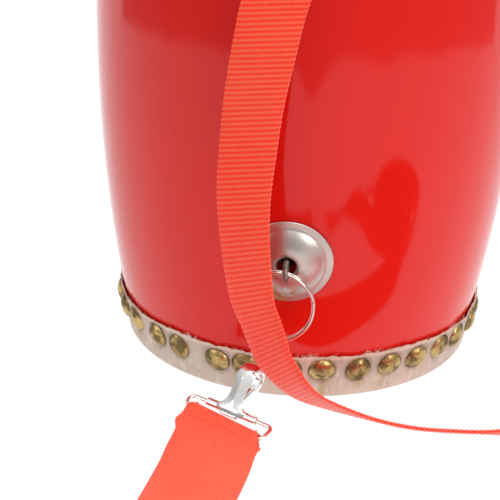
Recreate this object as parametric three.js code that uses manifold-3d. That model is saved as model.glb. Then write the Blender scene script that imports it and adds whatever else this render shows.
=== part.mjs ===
// A waist drum: a coopered barrel shell with two tacked rawhide heads, a ring
// fitting near each head, and a webbing strap with a snap hook at each end.
// Millimetres, +Z up along the drum's axis. The origin is the middle of the face
// the drum stands on, and the ring fittings face -Y.
import * as THREE from 'three';
import { mergeVertices } from 'three/addons/utils/BufferGeometryUtils.js';
import Module from 'manifold-3d';

const wasm = await Module();
wasm.setup();

// Driving dimensions
const drumHeight = 340;
const bellyRadius = 92.3;
const endRadius = 75;
const bulgePower = 2.3;
const touchGap = 0.3;
const wallThickness = 7;
const staveCount = 12;
const hideThickness = 1;
const hideSkirt = 22;
const tackCount = 31;
const tackRadius = 5.7;
const tackHeight = 2.7;
const tackLine = 14.5;
const fittingHeight = 67.5;
const boreRadius = 3.3;
const plateRadius = 18.6;
const plateRise = 5;
const pinWire = 2.2;
const eyeReach = 8.2;
const eyeRadius = 3.7;
const ringRadius = 15.1;
const ringWire = 1.5;
const ringPitch = 1.8;
const ringDrop = 1;
const restSwing = 13;
const restLean = 6.5;
const loopWire = 1.8;
const loopDepth = 9;
const sleeveLength = 25;
const webbingThickness = 1.8;
const wideThickness = 1.3;
const narrowWidth = 25;
const wideWidth = 36;

// Materials
const paint = (color, roughness, metalness = 0) =>
  new THREE.MeshStandardMaterial({ color, roughness, metalness });
const redLacquer = paint(0xb8120f, 0.15);
const rawhide = paint(0xc9ab95, 0.7);
const brass = paint(0x9a7a3c, 0.4, 1);
const nickel = paint(0xd2cfcb, 0.2, 1);
const steel = paint(0x8c8a86, 0.35, 1);
const redWebbing = paint(0xf03a22, 0.85);

const drum = new THREE.Group();

function addNode(name, geometry, material, parent = drum) {
  const mesh = new THREE.Mesh(geometry, material);
  mesh.name = name;
  parent.add(mesh);
  return mesh;
}

// Outer radius of the wooden shell at a height
function shellRadius(z) {
  const fromMiddle = Math.abs(2 * z / drumHeight - 1);
  return bellyRadius - (bellyRadius - endRadius) * fromMiddle ** bulgePower;
}

// How far the shell leans out there, in radians from upright
function shellLean(z) {
  const step = 0.5;
  return Math.atan((shellRadius(z + step) - shellRadius(z - step)) / (2 * step));
}

// A closed body through equal rings of points; both ends are capped unless the rings close on themselves
function skin(rings, closed = false) {
  const around = rings[0].length;
  const corners = rings.flat();
  const triangles = [];
  const spans = closed ? rings.length : rings.length - 1;
  for (let i = 0; i < spans; i++) {
    const next = (i + 1) % rings.length;
    for (let j = 0; j < around; j++) {
      const k = (j + 1) % around;
      const [a, b] = [i * around + j, i * around + k];
      const [c, d] = [next * around + j, next * around + k];
      triangles.push(a, b, c, b, d, c);
    }
  }
  if (!closed) {
    const last = (rings.length - 1) * around;
    for (let j = 1; j < around - 1; j++) {
      triangles.push(0, j + 1, j);
      triangles.push(last, last + j, last + j + 1);
    }
  }
  const geometry = new THREE.BufferGeometry().setFromPoints(corners);
  geometry.setIndex(signedVolume(corners, triangles) < 0 ? triangles.reverse() : triangles);
  return geometry;
}

function signedVolume(corners, triangles) {
  const cross = new THREE.Vector3();
  let sum = 0;
  for (let i = 0; i < triangles.length; i += 3) {
    const [a, b, c] = [corners[triangles[i]], corners[triangles[i + 1]], corners[triangles[i + 2]]];
    sum += a.dot(cross.crossVectors(b, c));
  }
  return sum;
}

// Boolean work
function toSolid(geometry) {
  const bare = geometry.clone();
  bare.deleteAttribute('normal');
  bare.deleteAttribute('uv');
  const merged = mergeVertices(bare, 1e-4);
  const vertProperties = new Float32Array(merged.attributes.position.array);
  const triVerts = new Uint32Array(merged.index.array);
  return new wasm.Manifold(new wasm.Mesh({ numProp: 3, vertProperties, triVerts }));
}

function toGeometry(solid) {
  const mesh = solid.getMesh();
  const geometry = new THREE.BufferGeometry();
  geometry.setAttribute('position', new THREE.BufferAttribute(mesh.vertProperties, 3));
  geometry.setIndex(new THREE.BufferAttribute(mesh.triVerts, 1));
  return geometry;
}

const join = (...parts) => toGeometry(parts.map(toSolid).reduce((whole, part) => whole.add(part)));
const cut = (body, ...tools) =>
  toGeometry(tools.map(toSolid).reduce((left, tool) => left.subtract(tool), toSolid(body)));

// A profile of [radius, height] points turned about +Z
function turned(profile, segments) {
  const points = profile.map(([radius, height]) => new THREE.Vector2(radius, height));
  const geometry = new THREE.LatheGeometry(points, segments);
  geometry.rotateX(Math.PI / 2);
  const position = geometry.attributes.position;
  const corners = Array.from({ length: position.count },
    (_, i) => new THREE.Vector3().fromBufferAttribute(position, i));
  const triangles = Array.from(geometry.index.array);
  if (signedVolume(corners, triangles) < 0) geometry.setIndex(triangles.reverse());
  return geometry;
}

// A round wire along a curve
function wire(curve, thickness, steps, sides = 8) {
  const section = new THREE.Shape().absellipse(0, 0, thickness / 2, thickness / 2, 0, 2 * Math.PI);
  return new THREE.ExtrudeGeometry(section, { extrudePath: curve, steps, curveSegments: sides / 2 });
}

// Shell: staves side by side, the first one centred on -Y where the fittings are bored through
function stave(index) {
  const heightSteps = 10;
  const outerSteps = 4;
  const innerSteps = 3;
  const bottom = hideThickness + touchGap;
  const halfTurn = Math.PI / staveCount;
  const middle = index * 2 * halfTurn - Math.PI / 2;
  const rings = [];
  for (let i = 0; i <= heightSteps; i++) {
    const z = bottom + (drumHeight - 2 * bottom) * i / heightSteps;
    const ring = [];
    const addArc = (radius, from, to, steps) => {
      const half = halfTurn - touchGap / 2 / radius;
      for (let j = 0; j <= steps; j++) {
        const angle = middle + half * (from + (to - from) * j / steps);
        ring.push(new THREE.Vector3(radius * Math.cos(angle), radius * Math.sin(angle), z));
      }
    };
    const trim = i === 0 || i === heightSteps ? 1.2 : 0;
    addArc(shellRadius(z) - trim, -1, 1, outerSteps);
    addArc(shellRadius(z) - wallThickness, 1, -1, innerSteps);
    rings.push(ring);
  }
  return skin(rings);
}

// A fitting's frame: its +Z points out of the shell, its +Y up along it
function fittingFrame(height) {
  const frame = new THREE.Group();
  const lean = shellLean(height);
  frame.position.set(0, -shellRadius(height), height);
  frame.rotation.x = Math.PI / 2 + lean;
  frame.updateMatrixWorld();
  return frame;
}

const fittingHeights = { lower: fittingHeight, upper: drumHeight - fittingHeight };

for (let i = 0; i < staveCount; i++) {
  let geometry = stave(i);
  if (i === 0) {
    const bores = Object.values(fittingHeights).map((height) => {
      const bore = new THREE.CylinderGeometry(boreRadius, boreRadius, 4 * wallThickness, 12);
      return bore.rotateX(Math.PI / 2).applyMatrix4(fittingFrame(height).matrixWorld);
    });
    geometry = cut(geometry, ...bores);
  }
  addNode(`stave_${String(i + 1).padStart(2, '0')}`, geometry, redLacquer);
}

// Heads: a flat skin over the end, turned up over the rim in a skirt
function head() {
  const corner = 2.6;
  const inside = touchGap;
  const outside = touchGap + hideThickness;
  const outer = [[0, 0]];
  for (let i = 0; i <= 3; i++) {
    const angle = -Math.PI / 2 + i * Math.PI / 6;
    const radius = shellRadius(corner) + outside - corner;
    outer.push([radius + corner * Math.cos(angle), corner + corner * Math.sin(angle)]);
  }
  outer.push([shellRadius(hideSkirt / 2) + outside, hideSkirt / 2]);
  outer.push([shellRadius(hideSkirt) + outside, hideSkirt]);
  const inner = [
    [shellRadius(hideSkirt) + inside, hideSkirt],
    [shellRadius(hideSkirt / 2) + inside, hideSkirt / 2],
    [shellRadius(corner) + inside, corner],
    [shellRadius(hideThickness) - 0.6, hideThickness],
    [0, hideThickness],
  ];
  return turned([...outer, ...inner], 48);
}

// Tacks: domed heads in one row, held to each other by a thin hoop under them.
// The spacing is uneven, as hand-set nails are.
const tackSpacing = [13, 10, 14.4, 9, 13.3, 10.4, 11.4, 10.5, 10.2, 10.8, 10.2];
const firstTack = -58.5;

function tackAngles() {
  const gaps = Array.from({ length: tackCount }, (_, i) => tackSpacing[i % tackSpacing.length]);
  const measured = tackSpacing.reduce((sum, gap) => sum + gap);
  const rest = gaps.slice(tackSpacing.length).reduce((sum, gap) => sum + gap);
  let angle = firstTack;
  return gaps.map((gap, i) => {
    const here = angle;
    angle += i < tackSpacing.length ? gap : gap * (360 - measured) / rest;
    return here;
  });
}

function tackRow() {
  const skinRadius = shellRadius(tackLine) + touchGap + hideThickness + touchGap;
  const lean = shellLean(tackLine);
  const hoopHalf = 0.8;
  const rise = hoopHalf * Math.tan(lean);
  const hoop = turned([
    [skinRadius - rise, tackLine - hoopHalf],
    [skinRadius - rise + 0.5, tackLine - hoopHalf],
    [skinRadius + rise + 0.5, tackLine + hoopHalf],
    [skinRadius + rise, tackLine + hoopHalf],
    [skinRadius - rise, tackLine - hoopHalf],
  ], 62);
  const domes = tackAngles().map((degrees) => {
    const dome = turned([
      [0, 0], [tackRadius, 0], [0.76 * tackRadius, 0.68 * tackHeight], [0, tackHeight],
    ], 8);
    dome.rotateX(Math.PI / 2 + lean);
    dome.translate(0, -skinRadius - 0.05, tackLine);
    return dome.rotateZ(THREE.MathUtils.degToRad(degrees));
  });
  return join(hoop, ...domes);
}

for (const end of ['lower', 'upper']) {
  const side = new THREE.Group();
  if (end === 'upper') {
    side.rotation.y = Math.PI;
    side.position.z = drumHeight;
  }
  drum.add(side);
  addNode(`${end}_head`, head(), rawhide, side);
  addNode(`${end}_tacks`, tackRow(), brass, side);
}

// Domed cover plate with a turned-in hole for the pin
function plate() {
  const sheet = 0.8;
  const hole = 4;
  return turned([
    [plateRadius, touchGap], [plateRadius, touchGap + sheet],
    [0.84 * plateRadius, 1.5 + sheet], [0.6 * plateRadius, 3.6 + sheet],
    [0.36 * plateRadius, plateRise], [hole, plateRise - 0.6],
    [hole, plateRise - 0.6 - sheet], [0.36 * plateRadius, plateRise - sheet],
    [0.6 * plateRadius, 3.6], [0.84 * plateRadius, 1.5],
    [plateRadius - 2, touchGap], [plateRadius, touchGap],
  ], 32);
}

// Split pin: an eye outside, two legs through the wall, bent apart behind the washer
const washerFace = -wallThickness - 1.3;
const washerThickness = 1.2;

function splitPin() {
  const apart = pinWire / 2 + 0.2;
  const bent = washerFace - washerThickness - touchGap - 0.3 - pinWire / 2;
  const leg = [
    [12, bent], [8, bent], [4.5, bent], [2.6, bent + 0.35], [1.6, bent + 1.3],
    [apart, bent + 2.6], [apart, -4], [apart, 0], [apart, 3],
  ];
  const eye = [140, 105, 70, 35, 0, -35, -70, -105, -140].map((degrees) => {
    const angle = THREE.MathUtils.degToRad(degrees);
    return [eyeRadius * Math.sin(angle), eyeReach + eyeRadius * Math.cos(angle)];
  });
  const otherLeg = leg.map(([up, out]) => [-up, out]).reverse();
  const points = [...leg, ...eye, ...otherLeg].map(([up, out]) => new THREE.Vector3(0, up, out));
  return wire(new THREE.CatmullRomCurve3(points, false, 'centripetal'), pinWire, 44);
}

function washer() {
  const bore = boreRadius + 0.2;
  const back = washerFace - washerThickness;
  return turned([[bore, back], [10, back], [10, washerFace], [bore, washerFace], [bore, back]], 24);
}

// Split ring in the plane of X and Z: nearly two turns of wire side by side, which change sides across the gap
class SplitRing extends THREE.Curve {
  getPoint(t, target = new THREE.Vector3()) {
    const gap = 50;
    const start = 84;
    const sweep = 720 - gap;
    const across = THREE.MathUtils.smoothstep(sweep * t, 360 - gap, 360);
    const angle = THREE.MathUtils.degToRad(start + sweep * t);
    return target.set(ringRadius * Math.cos(angle), ringPitch * (0.5 - across), ringRadius * Math.sin(angle));
  }
}

function eyeCentre(height) {
  return new THREE.Vector3(0, 0, eyeReach).applyMatrix4(fittingFrame(height).matrixWorld);
}

for (const [end, height] of Object.entries(fittingHeights)) {
  const fitting = fittingFrame(height);
  drum.add(fitting);
  addNode(`${end}_plate`, plate(), nickel, fitting);
  addNode(`${end}_pin`, splitPin(), steel, fitting);
  addNode(`${end}_washer`, washer(), steel, fitting);

  const hanger = new THREE.Group();
  hanger.position.copy(eyeCentre(height));
  hanger.position.z -= ringDrop;
  hanger.rotation.y = end === 'lower' ? THREE.MathUtils.degToRad(restSwing) : 0;
  hanger.rotation.x = end === 'upper' ? -THREE.MathUtils.degToRad(restLean) : 0;
  drum.add(hanger);
  const ring = addNode(`${end}_ring`, wire(new SplitRing(), ringWire, 56), nickel, hanger);
  ring.position.z = -ringRadius;
}

// A frame from its origin, its X and roughly its Y
function frameFrom(origin, xDirection, yDirection) {
  const x = new THREE.Vector3(...xDirection).normalize();
  const y = new THREE.Vector3(...yDirection);
  y.addScaledVector(x, -x.dot(y)).normalize();
  const frame = new THREE.Group();
  frame.matrix.makeBasis(x, y, new THREE.Vector3().crossVectors(x, y)).setPosition(...origin);
  frame.matrix.decompose(frame.position, frame.quaternion, frame.scale);
  return frame;
}

// Snap hook. Its own frame: X along the bar it turns on, Y up the neck, +Z its smooth back.
// Each point of the neck and bend: along Y, along Z, width
const hookLine = [
  [0.6, 0.7, 7.6], [3, 1.1, 7.4], [6, 1.7, 7], [11, 2, 7.2], [15, 1.7, 8.4], [18, 0.7, 9.2],
  [20.2, -1.4, 9], [21.1, -4.4, 7.6], [19.8, -7.4, 6], [16.2, -9.2, 5.2], [11.4, -8.8, 4.4],
];

function hook() {
  const thickness = 2.2;
  const middle = new THREE.CatmullRomCurve3(hookLine.map(([y, z]) => new THREE.Vector3(0, y, z)));
  const widths = new THREE.CatmullRomCurve3(hookLine.map(([, , width]) => new THREE.Vector3(width, 0, 0)));
  const steps = 20;
  const rings = [];
  for (let i = 0; i <= steps; i++) {
    const centre = middle.getPoint(i / steps);
    const along = middle.getTangent(i / steps);
    const outward = new THREE.Vector3(0, -along.z, along.y);
    const half = widths.getPoint(i / steps).x / 2;
    const section = [[1, -0.2], [1, 0.2], [0.6, 0.5], [-0.6, 0.5], [-1, 0.2], [-1, -0.2], [-0.6, -0.5], [0.6, -0.5]];
    rings.push(section.map(([side, out]) =>
      new THREE.Vector3(side * half, 0, 0).add(centre).addScaledVector(outward, out * thickness)));
  }
  const sleeve = new THREE.CylinderGeometry(1.9, 1.9, sleeveLength, 12).rotateZ(Math.PI / 2);
  const flare = new THREE.Shape([[-7.4, 0], [7.4, 0], [4.6, 3.4], [3.6, 7], [-3.6, 7], [-4.6, 3.4]]
    .map(([x, y]) => new THREE.Vector2(x, y)));
  const base = new THREE.ExtrudeGeometry(flare, { depth: 1.5, bevelEnabled: false }).translate(0, 0, 0.2);
  const lip = new THREE.BoxGeometry(8.6, 2.8, 1.7).translate(0, -1.3, 1.05);
  const bore = new THREE.CylinderGeometry(loopWire / 2 + touchGap, loopWire / 2 + touchGap, 2 * sleeveLength, 10);
  return cut(join(skin(rings), sleeve, base, lip), bore.rotateZ(Math.PI / 2));
}

// Gate: a spring leaf from inside the neck to the hook's nose
const gateRoot = [4, -0.6];

function gate() {
  const line = [[3.2, -0.5], [4.6, -0.8], [6, -1.9], [11.9, -6.7]];
  const [halfWidth, halfThickness] = [1.9, 0.35];
  const rings = line.map(([y, z], i) => {
    const [before, after] = [line[Math.max(i - 1, 0)], line[Math.min(i + 1, line.length - 1)]];
    const along = new THREE.Vector2(after[0] - before[0], after[1] - before[1]).normalize();
    return [[1, 1], [-1, 1], [-1, -1], [1, -1]].map(([side, out]) => new THREE.Vector3(
      side * halfWidth, y - out * halfThickness * along.y, z + out * halfThickness * along.x));
  });
  return skin(rings);
}

// Wire loop that a strap end is sewn round: the hook's bar lies at Y = 0, the strap's below it,
// at one depth on the left and another on the right where the loop is bent out of square
function wireLoop(halfWidth, leftDepth, rightDepth) {
  const corner = 2.4;
  const rings = [];
  const corners = [[1, 0, 0], [-1, 0, 90], [-1, leftDepth, 180], [1, rightDepth, 270]];
  for (const [side, depth, from] of corners) {
    const x = side * (halfWidth - corner);
    const y = depth ? corner - depth : -corner;
    for (let i = 0; i <= 4; i++) {
      const angle = THREE.MathUtils.degToRad(from + 22.5 * i);
      const out = new THREE.Vector3(Math.cos(angle), Math.sin(angle), 0);
      const centre = new THREE.Vector3(x, y, 0).addScaledVector(out, corner);
      rings.push(Array.from({ length: 8 }, (_, j) => {
        const turn = j * Math.PI / 4;
        return centre.clone().addScaledVector(out, Math.cos(turn) * loopWire / 2)
          .add(new THREE.Vector3(0, 0, Math.sin(turn) * loopWire / 2));
      }));
    }
  }
  return skin(rings, true);
}

// The upper hook hangs in the upper ring, which leans out to clear it;
// the lower one stands up beside the lower head's skirt
const ringInHook = new THREE.Vector3(0, -4.4, -18.3);
const upperRingFoot = new THREE.Vector3(0, 0, -2 * ringRadius)
  .applyAxisAngle(new THREE.Vector3(1, 0, 0), -THREE.MathUtils.degToRad(restLean))
  .add(eyeCentre(fittingHeights.upper));
upperRingFoot.z -= ringDrop;
const upperHook = frameFrom(upperRingFoot.clone().add(ringInHook).toArray(), [1, 0, 0], [0, 0, 1]);
const lowerBar = [-18.9, -102.2, 5.2];
const lowerBarLine = [0.86, -0.508, -0.03];
const lowerHook = frameFrom(lowerBar, lowerBarLine, [0.345, 0.5, 0.79]);
const lowerLoop = frameFrom(lowerBar, lowerBarLine, [0.48, 0.83, 0.27]);
const upperLoop = frameFrom(upperHook.position.toArray(), [1, 0, 0], [0, 0, 1]);
drum.add(upperHook, lowerHook, lowerLoop, upperLoop);
addNode('upper_hook', hook(), nickel, upperHook);
addNode('upper_gate', gate(), steel, upperHook);
addNode('upper_loop', wireLoop(narrowWidth / 2 + 2.2, loopDepth, loopDepth), nickel, upperLoop);
addNode('lower_hook', hook(), nickel, lowerHook);
addNode('lower_gate', gate(), steel, lowerHook);
addNode('lower_loop', wireLoop(wideWidth / 2 + 2.4, 5.5, 8), nickel, lowerLoop);

// Webbing lies along a route of hand-set points: x, y, z, then how far the width is turned
// from +X towards -Y and how far it is tipped up from level, in degrees
function webbing(route, width, thickness, steps) {
  const path = new THREE.CatmullRomCurve3(route.map(([x, y, z]) => new THREE.Vector3(x, y, z)));
  const angles = new THREE.CatmullRomCurve3(route.map(([, , , turn, tip]) => new THREE.Vector3(turn, tip, 0)));
  const rings = [];
  for (let i = 0; i <= steps; i++) {
    const centre = path.getPoint(i / steps);
    const along = path.getTangent(i / steps);
    const { x: turn, y: tip } = angles.getPoint(i / steps).multiplyScalar(Math.PI / 180);
    const across = new THREE.Vector3(
      Math.cos(turn) * Math.cos(tip), -Math.sin(turn) * Math.cos(tip), Math.sin(tip));
    const skew = Math.sqrt(1 - across.dot(along) ** 2);
    const face = new THREE.Vector3().crossVectors(along, across).normalize();
    const section = [[1, 0], [0.96, 1], [0, 1], [-0.96, 1], [-1, 0], [-0.96, -1], [0, -1], [0.96, -1]];
    rings.push(section.map(([side, out]) => centre.clone()
      .addScaledVector(across, side * width / 2 / skew)
      .addScaledVector(face, out * thickness / 2)));
  }
  return skin(rings);
}

// The narrow webbing hangs from the upper loop, turns edge up and goes off to a coil
const hangTop = upperHook.position.z - loopDepth - loopWire / 2 - touchGap;
const hangFront = upperHook.position.y;
const narrowRun = [
  [0, hangFront, hangTop, 0, 0], [-2.8, hangFront - 0.8, 197, 2, 2], [-8.2, -104.5, 178, 6, 7],
  [-11.3, -104.8, 161.4, 12, 9], [-14.4, -104.6, 140.8, 20, 12], [-16.1, -105.2, 121.1, 24, 14],
  [-17, -106.2, 100.7, 29, 17], [-15.4, -107.8, 81, 35, 21], [-12.1, -108.8, 60.2, 41, 26],
  [-7.8, -109, 48.6, 46, 31], [-4.9, -108.6, 40.7, 50, 35], [-2.3, -108, 33.7, 53, 37],
  [1.5, -107.4, 27.8, 56, 37], [6.6, -106.8, 21.4, 62, 35], [12.4, -106.2, 16.8, 69, 34],
  [21.3, -106.2, 13.5, 79, 32], [37.5, -108.4, 10.4, 88, 29], [51.5, -110, 8.8, 91, 29], [66, -109.6, 8, 92, 29],
  [90, -107, 8, 94, 31], [106, -105.4, 10.8, 94, 50], [121, -104.8, 12.9, 91, 78], [136, -104.6, 13.1, 90, 90],
];
const narrowTail = [
  [106.4, -181, 13.1, 180, 90], [104.6, -188, 13.1, 188, 90], [99.6, -195.6, 13.1, 212, 88],
  [91.6, -201, 12.6, 240, 72], [82, -204.6, 10.2, 262, 48], [72, -206, 6.4, 269, 22],
  [62, -206.5, 3.7, 270, 5], [53.6, -206.5, 3.3, 270, 0],
];
addNode('narrow_webbing', webbing(narrowRun, narrowWidth, webbingThickness, 54), redWebbing);
addNode('narrow_webbing_tail', webbing(narrowTail, narrowWidth, webbingThickness, 18), redWebbing);

// The coil stands on its edge
const coilCentre = [152, -155];
const coilRadius = 50;
const coil = new THREE.CylinderGeometry(coilRadius + 1.2, coilRadius + 1.2, narrowWidth + 0.4, 36);
coil.rotateX(Math.PI / 2);
const coilMesh = addNode('narrow_webbing_coil', coil, redWebbing);
coilMesh.position.set(...coilCentre, touchGap + narrowWidth / 2 + 0.2);

// The wide webbing runs from the lower loop, folds over once and meets the buckle
const foldTurn = 49.5;
const wideRun = [
  [-21.8, -110.8, 3.9, 37, 0], [-22.4, -116, 3.3, 31, 0], [-23.4, -124, 2.5, 21, 0], [-25, -138, 1.6, 12, 0],
  [-27, -153, 1.1, 9, 0], [-30.5, -177, 1, 9, 0], [-33.4, -192, 1, 22, 0], [-35.6, -204, 1.1, 43, 0],
  [-36.8, -206.9, 1.5, foldTurn, 0], [-37.9, -207.9, 2.8, foldTurn, 0], [-36.8, -206.9, 4.1, foldTurn, 0],
  [-33, -206.5, 4.3, 57, 0], [-22, -206.5, 4.2, 76, 0], [-12, -206.5, 4, 86, 0], [-1, -206.5, 3, 90, 0],
  [12, -206.5, 2.7, 90, 0], [25.9, -206.5, 3.3, 90, 0],
];
addNode('wide_webbing', webbing(wideRun, wideWidth, wideThickness, 46), redWebbing);

// Buckle: one flat frame with a slot for each strap
function buckle() {
  const [long, short, thickness] = [44, 26, 2.4];
  const outline = new THREE.BoxGeometry(short, long, thickness);
  const slots = [-6, 6].map((x) => new THREE.BoxGeometry(7, 38, 2 * thickness).translate(x, 0, 0));
  return cut(outline, ...slots);
}
addNode('joining_buckle', buckle(), nickel).position.set(39.8, -206.5, 3.3);

export default drum;
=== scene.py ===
import bpy
import bmesh
import math
import random
from mathutils import Matrix, Vector, noise


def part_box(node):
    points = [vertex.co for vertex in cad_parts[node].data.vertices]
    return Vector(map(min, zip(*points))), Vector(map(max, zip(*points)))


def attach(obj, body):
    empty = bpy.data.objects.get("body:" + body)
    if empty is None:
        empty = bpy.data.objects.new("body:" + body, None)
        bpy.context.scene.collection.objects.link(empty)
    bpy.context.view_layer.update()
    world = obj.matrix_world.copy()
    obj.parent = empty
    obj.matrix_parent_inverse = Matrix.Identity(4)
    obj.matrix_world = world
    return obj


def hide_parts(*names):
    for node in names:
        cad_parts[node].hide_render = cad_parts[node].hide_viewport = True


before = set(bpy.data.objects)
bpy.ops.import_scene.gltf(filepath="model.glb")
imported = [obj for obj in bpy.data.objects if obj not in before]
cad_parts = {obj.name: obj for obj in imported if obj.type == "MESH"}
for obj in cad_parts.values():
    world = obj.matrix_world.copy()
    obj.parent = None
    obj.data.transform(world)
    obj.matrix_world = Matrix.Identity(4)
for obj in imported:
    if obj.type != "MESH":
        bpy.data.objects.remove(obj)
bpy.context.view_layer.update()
mm = 0.001


def at(x, y, z):
    return Vector((x, y, z)) * mm


# meshes are built from plain points and faces
def splinePoints(points, perSpan):
    # smooth line through tuples of any length
    count = len(points)
    out = []
    for i in range(count - 1):
        a, b = points[max(i - 1, 0)], points[i]
        c, d = points[i + 1], points[min(i + 2, count - 1)]
        for k in range(perSpan):
            t = k / perSpan
            out.append(tuple(
                0.5 * (2 * q + (r - p) * t + (2 * p - 5 * q + 4 * r - s) * t * t
                       + (3 * q - p - 3 * r + s) * t ** 3)
                for p, q, r, s in zip(a, b, c, d)))
    out.append(tuple(points[-1]))
    return out


def nextTo(line, i):  # the entries before and after, or the end itself
    return line[max(i - 1, 0)], line[min(i + 1, len(line) - 1)]


def ringFaces(rings, wrap=False, caps=True):
    around = len(rings[0])
    faces = []
    for i in range(len(rings) - (0 if wrap else 1)):
        here, there = i * around, ((i + 1) % len(rings)) * around
        for j in range(around):
            k = (j + 1) % around
            faces.append((here + j, here + k, there + k, there + j))
    if caps and not wrap:
        faces.append(tuple(range(around))[::-1])
        faces.append(tuple(range((len(rings) - 1) * around, len(rings) * around)))
    return faces


class Shape:  # points and faces that grow piece by piece
    def __init__(self):
        self.points, self.faces = [], []

    def add(self, points, faces):
        first = len(self.points)
        self.points += [Vector(p) for p in points]
        self.faces += [tuple(first + i for i in face) for face in faces]
        return self

    def skin(self, rings, wrap=False, caps=True):
        return self.add([p for ring in rings for p in ring], ringFaces(rings, wrap, caps))

    def turned(self, profile, segments, place=None, wobble=None, capped=True):
        # profile of (radius, height) turned about the local Z
        rings = []
        for radius, height in profile:
            ring = []
            for j in range(segments):
                angle = 2 * math.pi * j / segments
                p = Vector((radius * math.cos(angle), radius * math.sin(angle), height))
                if wobble:
                    p = wobble(p)
                ring.append(place @ p if place else p)
            rings.append(ring)
        return self.skin(rings, caps=capped, wrap=not capped)

    def tube(self, path, radius, sides=12, wrap=False, squeeze=1.0, place=None, taper=None):
        # round wire along a path, its frame carried along without twisting
        count = len(path)
        path = [Vector(p) for p in path]
        tangents = []
        for i in range(count):
            if wrap:
                tangents.append((path[(i + 1) % count] - path[i - 1]).normalized())
            else:
                before, after = nextTo(path, i)
                tangents.append((after - before).normalized())
        side = tangents[0].orthogonal().normalized()
        rings = []
        for i in range(count):
            side = (side - tangents[i] * side.dot(tangents[i])).normalized()
            other = tangents[i].cross(side)
            size = radius * (taper(i / (count - 1)) if taper else 1)
            ring = [path[i] + (side * math.cos(a) + other * math.sin(a) * squeeze) * size
                    for a in (2 * math.pi * j / sides for j in range(sides))]
            rings.append([place @ p for p in ring] if place else ring)
        return self.skin(rings, wrap=wrap)


def addPiece(name, shape, finish, body, sharp=35, replaces=()):
    mesh = bpy.data.meshes.new(name)
    mesh.from_pydata(shape.points, [], shape.faces)
    work = bmesh.new()
    work.from_mesh(mesh)
    bmesh.ops.recalc_face_normals(work, faces=work.faces)
    work.to_mesh(mesh)
    work.free()
    mesh.shade_smooth()
    mesh.set_sharp_from_angle(angle=math.radians(sharp))
    mesh.materials.append(finish)
    piece = bpy.data.objects.new(name, mesh)
    bpy.context.scene.collection.objects.link(piece)
    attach(piece, body)
    if replaces:
        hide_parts(*replaces)
    return piece


class Wire:  # one output socket, so that maths on it reads as maths
    def __init__(self, finish, socket):
        self.finish, self.socket = finish, socket

    def maths(self, operation, *values):
        return self.finish.node("ShaderNodeMath", {"operation": operation}, dict(enumerate(values)))

    def __add__(self, other):
        return self.maths("ADD", self, other)

    def __radd__(self, other):
        return self.maths("ADD", other, self)

    def __sub__(self, other):
        return self.maths("SUBTRACT", self, other)

    def __rsub__(self, other):
        return self.maths("SUBTRACT", other, self)

    def __mul__(self, other):
        return self.maths("MULTIPLY", self, other)

    def __rmul__(self, other):
        return self.maths("MULTIPLY", other, self)


class Finish:
    def __init__(self, name, **shader):
        self.material = bpy.data.materials.new(name)
        self.material.use_nodes = True
        self.tree = self.material.node_tree
        self.shader = next(n for n in self.tree.nodes if n.type == "BSDF_PRINCIPLED")
        for key, value in shader.items():
            self.feed(self.shader.inputs[key.replace("_", " ")], value)

    def node(self, kind, settings=None, sockets=None, out=0):
        made = self.tree.nodes.new(kind)
        for key, value in (settings or {}).items():
            setattr(made, key, value)
        for key, value in (sockets or {}).items():
            self.feed(made.inputs[key], value)
        return Wire(self, made.outputs[out])

    def feed(self, socket, value):
        if isinstance(value, Wire):
            self.tree.links.new(value.socket, socket)
        elif socket.type == "RGBA" and len(value) == 3:
            socket.default_value = (*value, 1)
        else:
            socket.default_value = value

    def set(self, **shader):
        for key, value in shader.items():
            self.feed(self.shader.inputs[key.replace("_", " ")], value)
        return self

    def mix(self, factor, a, b):
        return self.node("ShaderNodeMix", {"data_type": "RGBA"}, {0: factor, 6: a, 7: b}, 2)

    def where(self):
        return self.node("ShaderNodeTexCoord", out="Object")

    def stretched(self, vector, x, y, z):
        return self.node("ShaderNodeVectorMath", {"operation": "MULTIPLY"}, {0: vector, 1: (x, y, z)})

    def cloud(self, vector, scale, detail=3.0, rough=0.5):
        return self.node("ShaderNodeTexNoise", None,
                         {"Vector": vector, "Scale": scale, "Detail": detail, "Roughness": rough})

    def step(self, value, low, high):  # 0 below low, 1 above high
        return self.node("ShaderNodeMapRange", {"interpolation_type": "SMOOTHSTEP"},
                         {0: value, 1: low, 2: high, 3: 0.0, 4: 1.0})

    def patches(self, vector, scales, detail, low, high):  # stretched noise, cut off below and above
        return self.step(self.cloud(self.stretched(vector, *scales), 1.0, detail), low, high)

    def part(self, vector, axis):
        return self.node("ShaderNodeSeparateXYZ", None, {0: vector}, axis)

    def bump(self, height, strength, distance, before=None):
        sockets = {"Height": height, "Strength": strength, "Distance": distance}
        if before:
            sockets["Normal"] = before
        return self.node("ShaderNodeBump", None, sockets)


# camera
view = {
    "place": (0.04196, -0.76948, 0.36975),
    "towards": (-0.07671, 0.91348, -0.39959),
    "roll": 2.1666,
    "lens": 133.5,
}


def makeCamera():
    towards = Vector(view["towards"]).normalized()
    level = towards.cross(Vector((0, 0, 1))).normalized()
    upright = level.cross(towards)
    c, s = math.cos(math.radians(view["roll"])), math.sin(math.radians(view["roll"]))
    right, up = level * c + upright * s, upright * c - level * s
    data = bpy.data.cameras.new("camera")
    data.lens = view["lens"]
    camera = bpy.data.objects.new("camera", data)
    bpy.context.scene.collection.objects.link(camera)
    turn = Matrix((right, up, -towards)).transposed().to_4x4()
    camera.matrix_world = Matrix.Translation(view["place"]) @ turn
    bpy.context.scene.camera = camera


makeCamera()
print("camera is set")

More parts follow.
